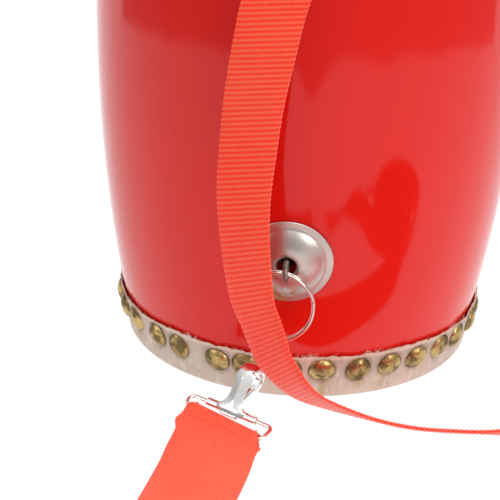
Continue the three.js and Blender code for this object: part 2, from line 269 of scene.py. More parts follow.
# straps: they come straight after the camera
webFinish = {
    # light and deep are the two ends of each strap's colour mix; on the narrow strap the ribs swing between
    # them as painted highlight and shade
    "narrow": {"light": (1.0, 0.135, 0.062), "deep": (0.97, 0.024, 0.01), "rib": 2.12, "thread": 0.62},
    "wide": {"light": (1.0, 0.17, 0.085), "deep": (0.97, 0.062, 0.024), "rib": 1.05, "thread": 0.8},
}


def ribbedWeb(name):  # thick weft ribs across, fine warp threads along; the colour adds painted highlight on each rib's crest and painted shade in the grooves
    look = webFinish[name]
    f = Finish(name + "Web", Roughness=0.75, Specular_IOR_Level=0.25)
    f.set(Sheen_Weight=0.5, Sheen_Roughness=0.4)
    uv = f.node("ShaderNodeUVMap", {"uv_map": "weave"})
    along, across = f.part(uv, 1), f.part(uv, 0)
    # painted highlight and shade: the colour is lighter on each rib's crest and darker in the groove between
    # ribs
    ribLitAndShadedWave = f.node("ShaderNodeMath", {"operation": "COSINE"}, {0: along * (2000 * math.pi / look["rib"])})
    rib = ribLitAndShadedWave * 0.5 + 0.5
    threads = f.node("ShaderNodeMath", {"operation": "SINE"}, {0: across * (2000 * math.pi / look["thread"])})
    thread = threads * 0.5 + 0.5
    fuzz = f.cloud(f.stretched(uv, 900, 350, 1), 1.0, 4, 0.6)
    patch = f.cloud(f.where(), 28, 3)
    tone = rib * 0.5 + thread * 0.16 + fuzz * 0.36 + (patch - 0.5) * 0.3
    f.set(Base_Color=f.mix(f.step(tone, 0.12, 0.92), look["deep"], look["light"]))
    f.set(Normal=f.bump(thread * 0.5 + fuzz * 0.6, 0.35, 0.00018))
    return f.material


def fineWeb(name):  # flat twill of small threads
    look = webFinish[name]
    f = Finish(name + "Web", Roughness=0.8, Specular_IOR_Level=0.2)
    f.set(Sheen_Weight=0.3, Sheen_Roughness=0.45)
    uv = f.node("ShaderNodeUVMap", {"uv_map": "weave"})
    along, across = f.part(uv, 1), f.part(uv, 0)
    weft = f.node("ShaderNodeMath", {"operation": "SINE"}, {0: along * (2000 * math.pi / look["rib"])})
    slant = f.node("ShaderNodeMath", {"operation": "SINE"},
                   {0: (across + along * 0.5) * (2000 * math.pi / look["thread"])})
    fuzz = f.cloud(f.stretched(uv, 700, 700, 1), 1.0, 4, 0.65)
    patch = f.cloud(f.where(), 40, 3)
    knot = weft * slant
    tone = knot * 0.22 + fuzz * 0.5 + patch * 0.35
    f.set(Base_Color=f.mix(f.step(tone, 0.1, 0.75), look["deep"], look["light"]))
    f.set(Normal=f.bump(knot * 0.5 + fuzz * 0.7, 0.5, 0.00022))
    return f.material


narrow = {
    "width": 25 * mm,
    "thick": 1.8 * mm,
    "rib": 2.12 * mm,     # pitch of the ribs
    "ribDepth": 0.26 * mm,
}
wide = {"width": 36 * mm, "thick": 1.3 * mm}

barRadius = 0.9  # of the wire loops

# x, y, z, then how far the width is turned and tipped, in degrees
upperBar = (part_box("upper_loop")[0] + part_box("upper_loop")[1]) / 2
upperBar.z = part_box("upper_loop")[0].z + barRadius * mm
hangTop = upperBar.z / mm
narrowDown = [
    (-2.8, -103.6, 197, 2, 2), (-8.2, -104.5, 178, 6, 7), (-11.3, -104.8, 161.4, 12, 9),
    (-14.4, -104.6, 140.8, 20, 12), (-16.1, -105.2, 121.1, 24, 14), (-17, -106.2, 100.7, 29, 17),
    (-15.4, -107.8, 81, 35, 21), (-12.1, -108.8, 60.2, 41, 26), (-7.8, -109, 48.6, 46, 31),
    (-4.9, -108.6, 40.7, 50, 35), (-2.3, -108, 33.7, 53, 37), (1.5, -107.4, 27.8, 56, 37),
    (6.6, -106.8, 21.4, 62, 35), (12.4, -106.2, 16.8, 69, 34), (21.3, -106.2, 13.5, 79, 32),
    (37.5, -108.4, 10.4, 88, 29), (51.5, -110, 8.8, 91, 29), (66, -109.6, 8, 92, 29),
    (90, -107, 8, 94, 31), (106, -105.4, 10.8, 94, 50), (121, -104.8, 12.9, 91, 78),
    (136, -104.6, 13.1, 90, 90),
]
coil = {"x": 152, "y": -155, "outer": 50, "inner": 12, "pitch": 3.183, "z": 13.1}


def coilRoute():  # in from the outside, round an S at the middle, and out between the first turns
    route = []
    centre = (coil["x"], coil["y"])

    def spot(radius, degrees, cx=centre[0], cy=centre[1]):
        a = math.radians(degrees)
        route.append((cx + radius * math.cos(a), cy + radius * math.sin(a), coil["z"], 90, 90))

    for degrees in range(90, -594, -12):
        spot(coil["outer"] - coil["pitch"] * math.radians(90 - degrees), degrees)
    turn = math.radians(126)
    for degrees in range(126, -54, -20):
        spot(6, degrees, centre[0] + 6 * math.cos(turn), centre[1] + 6 * math.sin(turn))
    for degrees in range(126, 306, 20):
        spot(6, degrees, centre[0] - 6 * math.cos(turn), centre[1] - 6 * math.sin(turn))
    for degrees in range(-54, 541, 12):
        spot(coil["inner"] + coil["pitch"] * math.radians(degrees + 54), degrees)
    return route


narrowAway = [
    (106.9, -163, 13.1, 90, 90), (106.6, -172, 13.1, 90, 90), (106.3, -181, 13.1, 90, 90),
    (104.6, -188, 13.1, 90, 90), (99.6, -195.6, 13.1, 90, 92), (91.6, -201, 12.6, 90, 108),
    (82, -204.6, 10.2, 90, 132), (72, -206, 6.4, 90, 158), (62, -206.5, 3.7, 90, 175),
    (55.4, -206.5, 3.3, 90, 180),
]


def frameAt(entry):
    x, y, z, turn, tip = entry
    t, p = math.radians(turn), math.radians(tip)
    return at(x, y, z), Vector((math.cos(t) * math.cos(p), -math.sin(t) * math.cos(p), math.sin(p)))


def evenly(route, gap, perSpan=24):  # the route again, at equal steps along it
    fine = [frameAt(entry) for entry in splinePoints(route, perSpan)]
    run = [0.0]
    for (a, _), (b, _) in zip(fine, fine[1:]):
        run.append(run[-1] + (b - a).length)
    count = max(2, round(run[-1] / gap))
    out, i = [], 0
    for k in range(count + 1):
        want = run[-1] * k / count
        while i < len(run) - 2 and run[i + 1] < want:
            i += 1
        t = (want - run[i]) / max(run[i + 1] - run[i], 1e-9)
        out.append((fine[i][0].lerp(fine[i + 1][0], t), fine[i][1].lerp(fine[i + 1][1], t).normalized()))
    return out, run[-1]


def strapShape(line, width, thick, ridge=None, columns=9):
    # one ring of points at each step: top row, then bottom row back
    shape, rings, uvs = Shape(), [], []
    spread = [math.sin(math.pi * (j / (columns - 1) - 0.5)) * 0.35 + (2 * j / (columns - 1) - 1) * 0.65
              for j in range(columns)]
    run = 0.0
    for i, (centre, across) in enumerate(line):
        before, after = nextTo(line, i)
        along = (after[0] - before[0]).normalized()
        if i:
            run += (centre - line[i - 1][0]).length
        skew = math.sqrt(max(1 - across.dot(along) ** 2, 0.1))
        face = along.cross(across).normalized()
        lift = ridge(run) if ridge else 0.0
        ring, spots = [], []
        for way in (1, -1):
            for s in spread[::way]:
                edge = max(0.0, (abs(s) - 0.9) / 0.1)
                half = (thick / 2 + lift) * math.sqrt(1 - 0.75 * edge ** 2) * way
                reach = width / 2 + (lift * 0.8 if edge > 0.5 else 0)
                ring.append(centre + across * (s * reach / skew) + face * half)
                spots.append((s * width / 2 + 0.05 * way, run))
        rings.append(ring)
        uvs += spots
    shape.skin(rings)
    shape.uvs = uvs
    return shape, run


def layWeave(piece, uvs):
    layer = piece.data.uv_layers.new(name="weave")
    for loop in piece.data.loops:
        layer.data[loop.index].uv = uvs[loop.vertex_index]


def roundBar(centre, along, start, sweep, radius, turn, tip, steps=9):
    # part of a turn round a bar; start and sweep in degrees from straight up, seen along the bar
    side = along.cross(Vector((0, 0, 1))).normalized()
    up = side.cross(along).normalized()
    spots = []
    for i in range(steps + 1):
        a = math.radians(start + sweep * i / steps)
        p = centre + (up * math.cos(a) + side * math.sin(a)) * radius
        spots.append((p.x / mm, p.y / mm, p.z / mm, turn, tip))
    return spots


def makeNarrowStrap():
    bar = upperBar
    reach = (barRadius + 0.15 + narrow["thick"] / mm / 2) * mm
    lap = [(-0.9, bar.y / mm + 2.05, hangTop - 21, 0, 0), (-0.5, bar.y / mm + 2.0, hangTop - 14, 0, 0),
           (0, bar.y / mm + 2.0, hangTop - 6, 0, 0)]
    over = roundBar(bar, Vector((1, 0, 0)), -90, 180, reach, 0, 0)
    front = [(0, bar.y / mm - 1.6, hangTop - 5, 0, 0)]
    route = lap + over + front + narrowDown + coilRoute() + narrowAway
    line, length = evenly(route, narrow["rib"] / 4)

    def ridge(run):
        return narrow["ribDepth"] * (abs(math.cos(math.pi * run / narrow["rib"])) - 0.75)

    shape, _ = strapShape(line, narrow["width"], narrow["thick"], ridge)
    piece = addPiece("narrow_strap", shape, ribbedWeb("narrow"), "drum", 50,
                     ("narrow_webbing", "narrow_webbing_coil", "narrow_webbing_tail"))
    layWeave(piece, shape.uvs)
    return piece, line, length


lowerBar = {"x": -18.9, "y": -102.2, "z": 5.2}
barLine = Vector((0.86, -0.508, -0.03)).normalized()
loopDown = (Vector((0.48, 0.83, 0.27)) - barLine * Vector((0.48, 0.83, 0.27)).dot(barLine)).normalized()
wideFold = 49.5
upperLoop = {"half": 14.7, "left": 9, "right": 9}
lowerLoop = {"half": 20.4, "left": 5.5, "right": 8}  # half its width, then how far each side hangs


def makeWideStrap():
    hookBar = at(lowerBar["x"], lowerBar["y"], lowerBar["z"])
    left = hookBar - barLine * lowerLoop["half"] * mm - loopDown * lowerLoop["left"] * mm
    right = hookBar + barLine * lowerLoop["half"] * mm - loopDown * lowerLoop["right"] * mm
    strapBar = (left + right) / 2 + (right - left).normalized() * 0.8 * mm
    away = (right - left).normalized()
    turn, tip = math.degrees(math.atan2(-away.y, away.x)), math.degrees(math.asin(away.z))
    reach = (barRadius + 0.1 + wide["thick"] / mm / 2) * mm
    c = (strapBar.x / mm, strapBar.y / mm, strapBar.z / mm)
    lap = [(c[0] - 2.6, c[1] - 16, 0.75, 14, 0), (c[0] - 1.9, c[1] - 10, 0.75, 22, 0),
           (c[0] - 1.1, c[1] - 5, 0.95, 31, tip)]
    over = roundBar(strapBar, away, 180, 200, reach, turn, tip)
    route = lap + over + [
        (c[0] - 1.6, c[1] - 6.5, 3.2, 31, 0), (-23.2, -121, 2.4, 22, 0), (-24.4, -130, 1.7, 14, 0),
        (-25.6, -142, 1.1, 10.5, 0), (-27.2, -154, 0.95, 9, 0),
        (-30.5, -177, 0.95, 9, 0), (-33.4, -192, 0.95, 22, 0), (-35.6, -204, 1.05, 43, 0),
        (-36.8, -206.9, 1.5, wideFold, 0), (-37.9, -207.9, 2.8, wideFold, 0),
        (-36.8, -206.9, 4.1, wideFold, 0),
        (-33, -206.5, 4.3, 57, 0), (-22, -206.5, 4.2, 76, 0), (-12, -206.5, 4, 86, 0), (-1, -206.5, 3, 90, 0),
        (12, -206.5, 3.2, 90, 0), (22, -206.5, 4.3, 90, 0), (26.6, -206.5, 5.1, 90, 0),
        (30.2, -206.5, 4.9, 90, 0),
        (31.4, -206.5, 3.3, 90, 0), (30.2, -206.5, 1.6, 90, 0), (26.6, -206.5, 1.15, 90, 0),
        (20, -206.5, 0.9, 90, 0),
        (12, -206.5, 0.8, 90, 0), (4.5, -206.5, 0.8, 90, 0),
    ]
    line, length = evenly(route, 0.9 * mm)
    shape, _ = strapShape(line, wide["width"], wide["thick"], columns=13)
    piece = addPiece("wide_strap", shape, fineWeb("wide"), "drum", 50, ("wide_webbing",))
    layWeave(piece, shape.uvs)
    return piece, line, length


narrowSewn, wideSewn = 24 * mm, 19 * mm  # where the stitches start along each strap
narrowStrap, narrowLine, narrowLength = makeNarrowStrap()
wideStrap, wideLine, wideLength = makeWideStrap()
print("straps: narrow", round(narrowLength, 3), "m, wide", round(wideLength, 3), "m")

# shell
shell = {
    "height": 340, "belly": 92.3, "end": 75, "bulge": 2.3,
    "wall": 7, "staves": 12, "fitting": 67.5, "bore": 3.3,
    "wood": (0.52, 0.36, 0.2),
}


def shellRadius(z):
    fromMiddle = abs(2 * z / shell["height"] - 1)
    return shell["belly"] - (shell["belly"] - shell["end"]) * fromMiddle ** shell["bulge"]


def shellLean(z):
    return math.atan(shellRadius(z + 0.5) - shellRadius(z - 0.5))


def redLacquer():
    f = Finish("redLacquer", Roughness=0.5, Specular_IOR_Level=0.04, Coat_Weight=1.0,
               Coat_Roughness=0.09, Coat_IOR=1.41)
    place = f.where()
    cloudy = f.cloud(f.stretched(place, 9, 9, 3.5), 1.0, 4)
    specks = f.step(f.cloud(place, 330, 2), 0.74, 0.8)
    tone = f.mix(f.step(cloudy, 0.3, 0.75), (0.66, 0.0055, 0.003), (0.78, 0.010, 0.0045))
    f.set(Base_Color=f.mix(specks * 0.55, tone, (0.34, 0.012, 0.008)))
    dust = f.step(f.cloud(place, 620, 2), 0.77, 0.82)
    peel = f.cloud(place, 95, 3)
    swell = f.cloud(f.stretched(place, 14, 14, 6), 1.0, 2)
    f.set(Normal=f.bump(swell, 0.2, 0.004, f.bump(peel + dust * 2.0, 0.45, 0.0004)))
    return f.material


def fittingFrame(end):
    z = shell["fitting"] if end == "lower" else shell["height"] - shell["fitting"]
    return (Matrix.Translation(at(0, -shellRadius(z), z)) @ Matrix.Rotation(math.pi / 2 + shellLean(z),
                                                                            4, "X"))


def drill(piece):  # the holes that the split pins go through
    for end in ("lower", "upper"):
        bit = Shape().turned([(shell["bore"], -20), (shell["bore"], 20)], 40, fittingFrame(end),
                             lambda p: p * mm)
        mesh = bpy.data.meshes.new("bit")
        mesh.from_pydata(bit.points, [], bit.faces)
        cutter = bpy.data.objects.new("bit", mesh)
        bpy.context.scene.collection.objects.link(cutter)
        hole = piece.modifiers.new("hole", "BOOLEAN")
        hole.operation, hole.object, hole.solver = "DIFFERENCE", cutter, "EXACT"
        bpy.context.view_layer.update()
        drilled = bpy.data.meshes.new_from_object(piece.evaluated_get(bpy.context.evaluated_depsgraph_get()))
        piece.modifiers.clear()
        piece.data = drilled
        bpy.data.objects.remove(cutter)


def makeShell():
    rows = []
    low, high = 1.3, shell["height"] - 1.3
    for i in range(91):
        z = low + (high - low) * i / 90
        trim = 1.2 if i in (0, 90) else 0
        rows.append((shellRadius(z) - trim, z))
    for i in range(25):
        z = high - (high - low) * i / 24
        rows.append((shellRadius(z) - shell["wall"], z))
    around = 216
    rings = []
    for j in range(around):
        a = 2 * math.pi * j / around - math.pi / 2
        stave = math.cos(shell["staves"] * (a + math.pi / 2))
        ring = []
        for k, (r, z) in enumerate(rows):
            flat = -0.1 * (1 - stave) / 2 if k < 91 else 0  # the joints pull in a hair's breadth
            ring.append(at((r + flat) * math.cos(a), (r + flat) * math.sin(a), z))
        rings.append(ring)
    piece = addPiece("shell", Shape().skin(rings, wrap=True), redLacquer(), "drum", 40,
                     [f"stave_{i + 1:02d}" for i in range(shell["staves"])])
    drill(piece)
    inside = Finish("plainWood", Roughness=0.7)
    grain = inside.cloud(inside.stretched(inside.where(), 260, 260, 12), 1.0, 5)
    inside.set(Base_Color=inside.mix(grain, (0.4, 0.26, 0.13), shell["wood"]))
    inside.set(Normal=inside.bump(grain, 0.3, 0.0004))
    piece.data.materials.append(inside.material)
    for face in piece.data.polygons:
        middle = face.center
        if math.hypot(middle.x, middle.y) < (shellRadius(middle.z / mm) - 1.5) * mm:
            face.material_index = 1
    return piece


# hide heads
hide = {
    "thick": 0.9,
    "skirt": 21.3,        # height of the trimmed edge
    "ragged": 1.0,
    "around": 720,
    "tackLine": 14.5,
    "colours": ((0.36, 0.26, 0.225), (0.60, 0.455, 0.36), (0.72, 0.60, 0.48)),
}
tackGaps = [13, 10, 14.4, 9, 13.3, 10.4, 11.4, 10.5, 10.2, 10.8, 10.2]
tackCount = 31
firstTack = -58.5  # degrees from the front


def tackAngles():  # degrees from the front; the front ones are spaced unevenly, the rest share what is left
    known = sum(tackGaps)
    gaps = [tackGaps[i % len(tackGaps)] for i in range(tackCount)]
    rest = sum(gaps[len(tackGaps):])
    angle, out = firstTack, []
    for i, gap in enumerate(gaps):
        out.append(angle)
        angle += gap if i < len(tackGaps) else gap * (360 - known) / rest
    return out


def driftUp(points, end):  # the upper head is the lower one turned over
    if end == "lower":
        return points
    return [Vector((-p.x, p.y, shell["height"] * mm - p.z)) for p in points]


def rawhide():
    f = Finish("rawhide", Roughness=0.5, Specular_IOR_Level=0.4)
    place = f.where()
    low, middle, pale = hide["colours"]
    broad = f.cloud(place, 26, 4, 0.55)
    mottled = f.cloud(place, 120, 5, 0.6)
    fine = f.cloud(place, 700, 4, 0.6)
    tone = f.mix(f.step(broad * 0.55 + mottled * 0.45, 0.36, 0.62), middle, pale)
    grey = f.patches(place, (13, 13, 20), 3, 0.42, 0.62)
    leftSideShade = f.step(f.part(place, 0) + broad * 0.06, 0.05, -0.04)  # painted shade: the left side (negative x) is darkened as if turned away from the key light
    # greyish patches that vary at random, joined with the painted shade on the left side; both pull the
    # colour towards low
    greyPatchesAndLeftShade = f.node("ShaderNodeMath", {"operation": "MAXIMUM"}, {0: grey * 0.75, 1: leftSideShade * 0.5})
    tone = f.mix(greyPatchesAndLeftShade, tone, low)
    layers = (  # stretch, detail, cut off below and above, strength, colour
        ((130, 130, 22), 3, 0.53, 0.68, 0.5, (0.52, 0.31, 0.12)),   # streaks
        ((42, 42, 60), 4, 0.45, 0.62, 0.4, (0.62, 0.38, 0.33)),     # pink
        ((60, 60, 42), 4, 0.56, 0.68, 0.5, (0.34, 0.19, 0.14)),     # stains
        ((480, 480, 45), 3, 0.5, 0.66, 0.35, (0.82, 0.74, 0.66)),   # fibres
    )
    for scales, detail, cutLow, cutHigh, strength, colour in layers:
        tone = f.mix(f.patches(place, scales, detail, cutLow, cutHigh) * strength, tone, colour)
    # rusty drips below some tacks, and painted contact shade round the foot of every tack
    for name, colour in (("drip", (0.40, 0.235, 0.07)), ("tackFootShade", (0.16, 0.10, 0.06))):
        tone = f.mix(f.node("ShaderNodeAttribute", {"attribute_name": name}, out=2), tone, colour)
    height = f.part(place, 2)
    lowRim = f.step(height, 0.0192, 0.0212) * f.step(height, 0.04, 0.03)
    highRim = f.step(height, 0.3208, 0.3188) * f.step(height, 0.30, 0.31)
    rims = lowRim + highRim
    tone = f.mix(rims * 0.6, tone, (0.86, 0.72, 0.56))
    f.set(Base_Color=f.mix(fine * 0.3, tone, (0.80, 0.70, 0.60)))
    f.set(Roughness=f.step(mottled, 0.2, 0.8) * 0.25 + 0.38)
    pores = f.node("ShaderNodeTexVoronoi", None, {"Vector": place, "Scale": 900.0})
    wrinkles = f.cloud(f.stretched(place, 260, 260, 70), 1.0, 3)
    f.set(Normal=f.bump(pores * 0.25 + fine * 0.6 + mottled * 1.8 + wrinkles * 1.6, 0.8, 0.0005))
    return f.material


def rawFibre():
    f = Finish("rawFibre", Roughness=0.7)
    f.set(Base_Color=f.mix(f.cloud(f.where(), 500, 2), (0.86, 0.74, 0.60), (0.97, 0.92, 0.84)))
    return f.material


hideFinish, fibreFinish = rawhide(), rawFibre()


def edgeHeight(angle, seed):
    # angle in degrees; the knife wandered, and left small steps and nicks
    p = Vector((math.cos(math.radians(angle)), math.sin(math.radians(angle)), seed))
    slow = noise.noise(p * 3.2) * 1.0
    quick = noise.noise(p * 14) * 0.55
    cut = noise.noise(p * 34) * 0.45
    tiny = noise.noise(p * 120) * 0.2
    nick = -1.2 * max(0.0, noise.noise(p * 22 + Vector((4, 2, 9))) - 0.38) / 0.3
    return hide["skirt"] + hide["ragged"] * (slow + quick + cut + tiny + nick)


def hideLift(angle, z, seed, tacks):
    # how far the skin stands off its even surface, in mm: pulled in at each tack and puckered between
    near = min(tacks, key=lambda t: abs((angle - t + 180) % 360 - 180))
    off = abs((angle - near + 180) % 360 - 180)
    dip = -0.35 * math.exp(-(off / 2.6) ** 2 - ((z - hide["tackLine"]) / 6) ** 2)
    p = Vector((math.cos(math.radians(angle)), math.sin(math.radians(angle)), seed + z * 0.01))
    pucker = 0.4 * max(0.0, (z - 9) / 12) * (noise.noise(p * 9) + 0.35) * min(off / 5, 1)
    return dip + pucker + 0.22 * noise.noise(p * 26)


def stainHead(piece, end, tacks):  # painted contact shade round the foot of each tack, and rusty water that ran down from some
    dice = random.Random(21 if end == "lower" else 22)
    runs = [(t + dice.uniform(-1.5, 1.5), dice.choice((0, 0, 0.4, 0.75, 0.9)),
             dice.uniform(3, 11)) for t in tacks]
    drips, tackFootShades = [], []
    for vertex in piece.data.vertices:
        p = driftUp([vertex.co], end)[0] / mm
        angle = math.degrees(math.atan2(p.x, -p.y))
        nearest = min(range(len(tacks)), key=lambda k: abs((angle - tacks[k] + 180) % 360 - 180))
        off = (angle - tacks[nearest] + 180) % 360 - 180
        away = math.hypot(math.radians(off) * 79, p.z - hide["tackLine"])
        # painted shade: a dark ring hugging the foot of each tack, where it meets the hide
        tackFootShades.append(0.65 * math.exp(-(max(away - 5.6, 0) / 0.8) ** 2) if p.z > 3 else 0)
        middle, strength, reach = runs[nearest]
        side = ((angle - middle + 180) % 360 - 180) / (1.5 + 0.5 * noise.noise(Vector((angle, p.z * 0.3, 1))))
        fall = min(max((p.z - (hide["tackLine"] - 4 - reach)) / 3, 0), 1) if p.z < hide["tackLine"] - 2 else 0
        drips.append(strength * math.exp(-side * side) * fall)
    for name, values in (("drip", drips), ("tackFootShade", tackFootShades)):
        piece.data.attributes.new(name, "FLOAT", "POINT").data.foreach_set("value", values)


def makeHead(end):
    seed = 1.7 if end == "lower" else 8.3
    tacks = tackAngles()
    thick = hide["thick"]
    gap = 0.35
    rings = [[] for _ in range(26)]
    for j in range(hide["around"]):
        angle = 360 * j / hide["around"]
        direction = math.radians(angle - 90)
        top = edgeHeight(angle, seed)
        flare = 0.35 + 0.3 * noise.noise(Vector((math.cos(direction) * 7, math.sin(direction) * 7, seed)))
        profile = [(4, 0), (30, 0), (56, 0), (68, 0), (72.6, 0)]
        for i in range(1, 5):
            a = -math.pi / 2 + i * math.pi / 8
            profile.append((shellRadius(2.6) + gap + thick - 2.6 + 2.6 * math.cos(a),
                            2.6 + 2.6 * math.sin(a)))
        for i in range(1, 10):
            z = 2.6 + (top - 2.6) * i / 9
            out = gap + thick + hideLift(angle, z, seed, tacks) * min(1, i / 2) + (flare if i == 9 else 0)
            profile.append((shellRadius(z) + out, z))
        inner = []
        for i in (9, 7, 5, 3, 0):
            z = 2.6 + (top - 0.05 - 2.6) * i / 9
            lift = hideLift(angle, z, seed, tacks) * min(1, i / 2)
            inner.append((shellRadius(z) + max(0.08, gap + lift + (flare if i == 9 else 0)), z))
        profile += inner + [(shellRadius(1) - 0.6, 1.0), (68, thick), (30, thick)]
        for ring, (r, z) in zip(rings, profile):
            ring.append(at(r * math.cos(direction), r * math.sin(direction), z))
    rings = [driftUp(ring, end) for ring in rings if ring]
    piece = addPiece(f"{end}_hide", Shape().skin(rings), hideFinish, "drum", 60, (f"{end}_head",))
    stainHead(piece, end, tacks)
    return piece


fibres = {"count": 150, "tufts": ((5, 4), (8.5, 2), (27, 3), (-30, 2), (61, 2)), "perTuft": 16}


def makeFibres(end):  # hairs left along the trimmed edge, thicker in tufts
    dice = random.Random(11 if end == "lower" else 12)
    seed = 1.7 if end == "lower" else 8.3
    places = [(dice.uniform(0, 360), 0.6) for _ in range(fibres["count"])]
    for middle, spread in fibres["tufts"]:
        places += [(dice.gauss(middle, spread / 2), 1.0) for _ in range(fibres["perTuft"])]
    shape = Shape()
    for angle, size in places:
        top = edgeHeight(angle % 360, seed) - 0.3
        direction = math.radians(angle - 90)
        out = Vector((math.cos(direction), math.sin(direction), 0))
        side = Vector((-math.sin(direction), math.cos(direction), 0))
        spot = out * (shellRadius(top) + 0.75) + Vector((0, 0, top))
        long = size * dice.uniform(0.7, 3.0)
        lean, curl, lift = dice.uniform(-1.4, 1.4), dice.uniform(-0.8, 0.8), dice.uniform(0.0, 0.5)
        path = []
        for k in range(5):
            t = k / 4
            path.append((spot + Vector((0, 0, 1)) * long * t * (1 - 0.25 * abs(lean) * t)
                         + side * long * (lean * t + curl * t * t) * 0.6 + out * lift * long * t * 0.5) * mm)
        shape.tube(driftUp(path, end), 0.085 * mm, 4, taper=lambda t: 1 - 0.75 * t)
    return addPiece(f"{end}_fibres", shape, fibreFinish, "drum", 180)


# tacks
tack = {"radius": 5.75, "height": 2.75, "sides": 32, "tilt": 4.0, "dent": 0.16}


def oldBrass():
    f = Finish("oldBrass", Metallic=1.0, Roughness=0.25)
    place = f.where()
    patches = f.cloud(place, 130, 4, 0.6)
    fine = f.cloud(place, 900, 3)
    tone = f.mix(f.step(patches, 0.35, 0.65), (0.60, 0.42, 0.17), (0.36, 0.24, 0.10))
    dark = f.step(f.cloud(place, 210, 4), 0.44, 0.6)
    tone = f.mix(dark * 0.8, tone, (0.12, 0.075, 0.035))
    f.set(Base_Color=tone)
    f.set(Roughness=0.24 + 0.2 * f.step(patches, 0.3, 0.8) + dark * 0.2)
    f.set(Normal=f.bump(fine + patches * 2, 0.15, 0.0003))
    return f.material


brassFinish = oldBrass()


def makeTacks(end):
    dice = random.Random(5 if end == "lower" else 6)
    shape = Shape()
    line = hide["tackLine"]
    profile = [(0.5, 0.0), (0.97, 0.0), (1.0, 0.05), (1.0, 0.13), (0.95, 0.3), (0.86, 0.5), (0.73, 0.69),
               (0.56, 0.84), (0.36, 0.95), (0.16, 0.995)]
    for degrees in tackAngles():
        size = dice.uniform(0.97, 1.02)
        stretch = dice.uniform(0.97, 1.03)
        seed = dice.uniform(0, 100)

        def dented(p):
            push = noise.noise(Vector((p.x * 0.35, p.y * 0.35, seed))) * tack["dent"]
            return Vector((p.x * stretch, p.y / stretch, p.z + (push if p.z > 0.5 else 0))) * mm

        out = shellRadius(line) + 0.35 + hide["thick"] - 0.25
        place = (Matrix.Rotation(math.radians(degrees), 4, "Z")
                 @ Matrix.Translation(at(0, -out, line + dice.uniform(-0.45, 0.45)))
                 @ Matrix.Rotation(math.pi / 2 + shellLean(line), 4, "X")
                 @ Matrix.Rotation(math.radians(dice.uniform(-1, 1) * tack["tilt"]), 4, "X")
                 @ Matrix.Rotation(math.radians(dice.uniform(-1, 1) * tack["tilt"]), 4, "Y"))
        first = len(shape.points)
        shape.turned([(r * tack["radius"] * size, h * tack["height"]) for r, h in profile],
                     tack["sides"], place, dented)
        shape.points[first:] = driftUp(shape.points[first:], end)
    return addPiece(f"{end}_tack_heads", shape, brassFinish, "drum", 50, (f"{end}_tacks",))


# fittings: plate, split pin, split ring
plate = {"sheet": 0.55, "segments": 96}


def plateNickel():
    f = Finish("plateNickel", Metallic=1.0, Roughness=0.3)
    place = f.where()
    smear = f.cloud(f.stretched(place, 90, 90, 60), 1.0, 4, 0.6)
    fine = f.cloud(place, 1200, 3)
    tone = f.mix(smear, (0.70, 0.66, 0.62), (0.50, 0.46, 0.43))
    height = f.part(place, 2)
    # rust gathers where water runs to, at the foot of each plate
    lowFoot = f.step(height, 0.0595, 0.0535) * f.step(height, 0.03, 0.04)
    highFoot = f.step(height, 0.2645, 0.2585) * f.step(height, 0.23, 0.24)
    blotch = f.step(f.cloud(place, 260, 4), 0.4, 0.62)
    aside = f.node("ShaderNodeMath", {"operation": "ABSOLUTE"}, {0: f.part(place, 0) + 0.0012})
    middle = f.step(aside, 0.009, 0.002)
    rust = (lowFoot + highFoot) * blotch * middle
    f.set(Base_Color=f.mix(rust * 0.9, tone, (0.42, 0.20, 0.04)), Metallic=1 - rust * 0.8)
    f.set(Roughness=0.27 + 0.18 * smear + rust * 0.3)
    f.set(Normal=f.bump(smear * 2.0 + fine * 0.25, 0.16, 0.0005))
    return f.material


def brightNickel(name, colour, rough):
    f = Finish(name, Metallic=1.0, Roughness=rough, Base_Color=colour)
    fine = f.cloud(f.where(), 700, 3)
    smear = f.cloud(f.where(), 110, 3)
    f.set(Base_Color=f.mix(f.step(smear, 0.5, 0.75) * 0.4, colour, tuple(0.72 * c for c in colour)))
    f.set(Roughness=rough * 0.8 + smear * rough * 0.5, Normal=f.bump(fine + smear, 0.06, 0.0003))
    return f.material


def darkSteel():
    f = Finish("darkSteel", Metallic=0.85, Roughness=0.4)
    patches = f.cloud(f.where(), 420, 4)
    f.set(Base_Color=f.mix(f.step(patches, 0.35, 0.65), (0.09, 0.065, 0.05), (0.34, 0.30, 0.26)))
    f.set(Normal=f.bump(patches, 0.35, 0.0003))
    return f.material


nickelFinish = brightNickel("brightNickel", (0.93, 0.90, 0.87), 0.1)
wireFinish = brightNickel("wireNickel", (0.74, 0.71, 0.66), 0.2)
plateFinish, steelFinish = plateNickel(), darkSteel()


def makePlate(end):
    place = fittingFrame(end)
    s = plate["sheet"]
    top = [(18.55, 0.75), (18.35, 1.05), (17.6, 1.12), (16.4, 1.12), (15.5, 1.25), (14.9, 1.75), (14.2, 2.35),
           (12.6, 3.3), (10.6, 4.2), (8.4, 4.95), (6.6, 5.35), (5.4, 5.5), (4.7, 5.35), (4.2, 4.95),
           (3.9, 4.3)]
    under = [(r + (0.35 if r < 5 else 0), h - s) for r, h in reversed(top)]
    under[-1] = (18.45, 0.45)
    shape = Shape().turned([(r, h) for r, h in top + under], plate["segments"], place,
                           lambda p: Vector((p.x, p.y, p.z - 0.0035 * p.x * p.x)) * mm, capped=False)
    return addPiece(f"{end}_cover_plate", shape, plateFinish, "drum", 40, (f"{end}_plate",))


pin = {"wire": 2.2, "reach": 8.2, "eye": 3.7, "washer": 8.3, "washerThick": 1.2}


